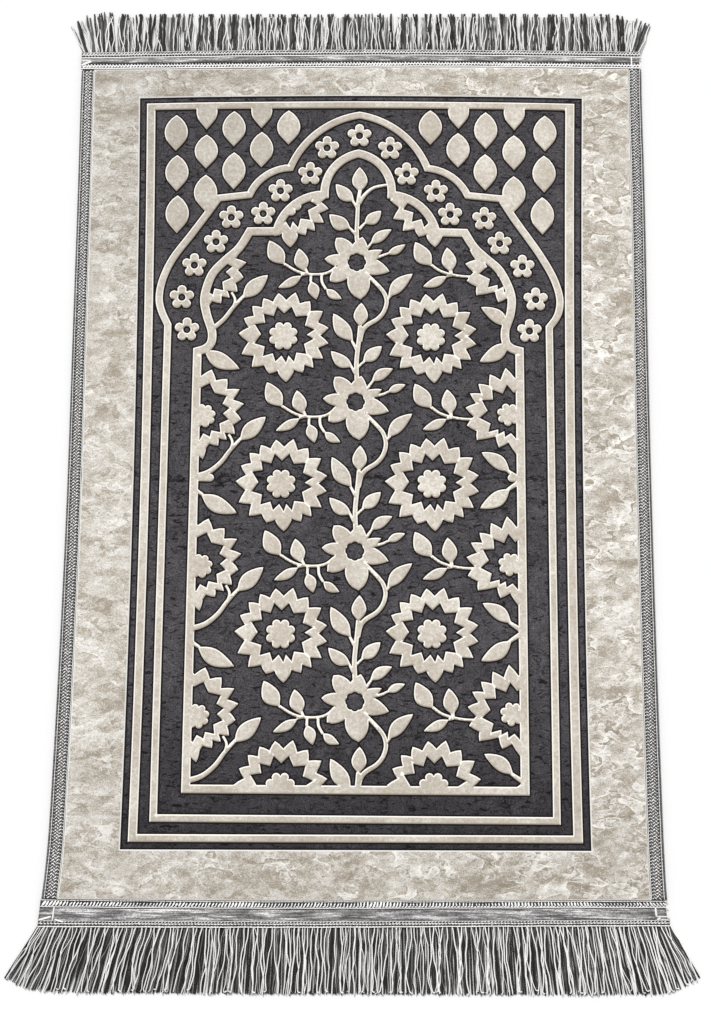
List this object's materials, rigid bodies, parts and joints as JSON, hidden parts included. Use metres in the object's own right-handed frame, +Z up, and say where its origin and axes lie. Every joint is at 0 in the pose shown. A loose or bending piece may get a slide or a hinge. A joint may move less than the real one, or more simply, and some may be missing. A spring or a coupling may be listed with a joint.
{
  "type": "prayer rug",
  "caption": "Flat pile prayer rug with an arch and flower design, braided side edgings, end tapes and a yarn fringe at both ends.",
  "frame": {"origin": "centre of the rug's box, on the floor", "axes": "+Y along the rug towards the head of its arch, +X to the right, +Z up from the floor"},
  "size_m": [0.7718, 1.1632, 0.0047],
  "materials": {
    "pile": "cut pile in cream, beige and charcoal",
    "braid": "black and white braid",
    "tape": "grey satin ribbon with stitched edges",
    "yarn": "twisted light and charcoal yarns"
  },
  "bodies": {
    "root": {"rug_cloth": "pile", "edging_left": "braid", "edging_right": "braid", "tape_far": "tape", "tape_near": "tape", "fringe_far": "yarn", "fringe_near": "yarn"}
  },
  "joints": []
}
